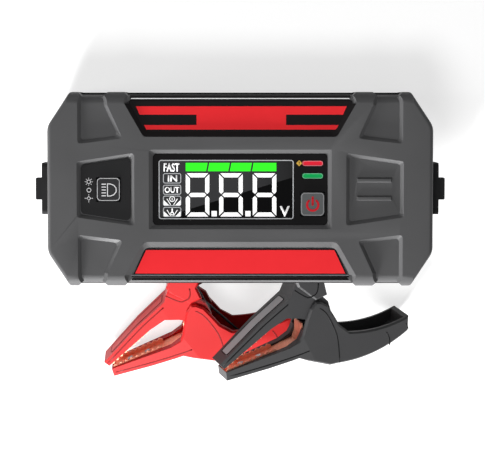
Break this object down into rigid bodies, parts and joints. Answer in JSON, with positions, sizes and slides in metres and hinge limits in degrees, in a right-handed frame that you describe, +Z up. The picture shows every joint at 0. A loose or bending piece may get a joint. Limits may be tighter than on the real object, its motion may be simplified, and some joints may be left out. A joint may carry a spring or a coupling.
{
  "type": "jump starter pack",
  "caption": "Portable car jump starter: a boxy battery pack with a display, buttons, end covers and a lamp, leaning on a red and a black sprung battery clamp.",
  "frame": {"origin": "middle of the bottom of the box round the whole arrangement, on the floor", "axes": "+X along the pack, +Z up, -Y towards the clamps"},
  "size_m": [0.2276, 0.1916, 0.0799],
  "materials": {
    "housing": "fine-grained grey",
    "band": "satin black",
    "grip": "matt black",
    "window": "gloss black",
    "lcd": "dark glass",
    "red_pipe": "clear red",
    "green_pipe": "clear green",
    "button": "satin grey",
    "label": "red and black print",
    "panel": "satin black",
    "board": "green solder mask",
    "chips": "black",
    "switches": "black and steel",
    "sink": "plain",
    "cells": "foil pouch",
    "tray": "black",
    "foam": "soft foam",
    "copper": "bright copper",
    "port_metal": "bright",
    "socket": "dark blue",
    "cover": "matt black",
    "lens": "clear",
    "reflector": "mirror",
    "steel": "bright",
    "red_grip": "satin red",
    "black_grip": "satin black"
  },
  "bodies": {
    "pack": {"front_shell": "housing", "rear_shell": "housing", "mid_band": "band", "shell_screws": "steel", "grip_pad": "grip", "display_window": "window", "lcd_module": "lcd", "red_light_pipe": "red_pipe", "green_light_pipe": "green_pipe", "upper_label": "label", "lower_label": "label", "light_panel": "panel", "main_board": "board", "board_components": "chips", "tact_switches": "switches", "heat_sink": "sink", "battery_cells": "cells", "battery_tray": "tray", "battery_foam": "foam", "positive_bar": "copper", "negative_bar": "copper", "usb_insert": "cover", "socket_insert": "cover", "usb_board": "board", "usb_a_port": "port_metal", "usb_c_ports": "port_metal", "jump_socket": "socket", "jump_contacts": "copper", "lamp_lens": "lens", "lamp_reflector": "reflector", "lamp_board": "board"},
    "power_key": {"power_button": "button"},
    "light_key": {"light_button": "button"},
    "usb_flap": {"usb_cover": "cover"},
    "jump_flap": {"jump_cover": "cover"},
    "red_clamp": {"red_lower_jaw": "red_grip", "red_lower_contact": "copper", "red_pivot_pin": "steel", "red_spring": "steel", "red_lower_rivets": "steel"},
    "red_jaw": {"red_upper_jaw": "red_grip", "red_upper_contact": "copper", "red_upper_rivets": "steel"},
    "black_clamp": {"black_lower_jaw": "black_grip", "black_lower_contact": "copper", "black_pivot_pin": "steel", "black_spring": "steel", "black_lower_rivets": "steel"},
    "black_jaw": {"black_upper_jaw": "black_grip", "black_upper_contact": "copper", "black_upper_rivets": "steel"}
  },
  "joints": [
    {"name": "power_press", "type": "slide", "parent": "pack", "child": "power_key", "axis": [0, -0.3867, -0.9222], "range_m": [0, 0.0005], "stiffness_N_per_m": 1500, "springref_m": -0.0004},
    {"name": "light_press", "type": "slide", "parent": "pack", "child": "light_key", "axis": [0, -0.3867, -0.9222], "range_m": [0, 0.0005], "stiffness_N_per_m": 1500, "springref_m": -0.0004},
    {"name": "usb_cover_hinge", "type": "hinge", "parent": "pack", "child": "usb_flap", "pos_m": [-0.1077, 0.03393, 0.02665], "axis": [0, -0.9222, 0.3867], "range_deg": [0, 110]},
    {"name": "jump_cover_hinge", "type": "hinge", "parent": "pack", "child": "jump_flap", "pos_m": [0.1077, 0.03393, 0.02665], "axis": [0, 0.9222, -0.3867], "range_deg": [0, 110]},
    {"name": "red_clamp_pull", "type": "slide", "parent": "pack", "child": "red_clamp", "axis": [-0.5, -0.866, 0], "range_m": [0, 0.12]},
    {"name": "red_jaw_open", "type": "hinge", "parent": "red_clamp", "child": "red_jaw", "pos_m": [-0.0234, -0.05434, 0.011], "axis": [0, 0, -1], "range_deg": [0, 25], "stiffness_Nm_per_rad": 1.5, "springref_deg": -20.05, "deforming": ["red_spring"]},
    {"name": "black_clamp_pull", "type": "slide", "parent": "pack", "child": "black_clamp", "axis": [0.5, -0.866, 0], "range_m": [0, 0.12]},
    {"name": "black_jaw_open", "type": "hinge", "parent": "black_clamp", "child": "black_jaw", "pos_m": [0.04423, -0.04582, 0.02845], "axis": [-0.3567, -0.1664, -0.9193], "range_deg": [0, 25], "stiffness_Nm_per_rad": 1.5, "springref_deg": -20.05, "deforming": ["black_spring"]}
  ]
}
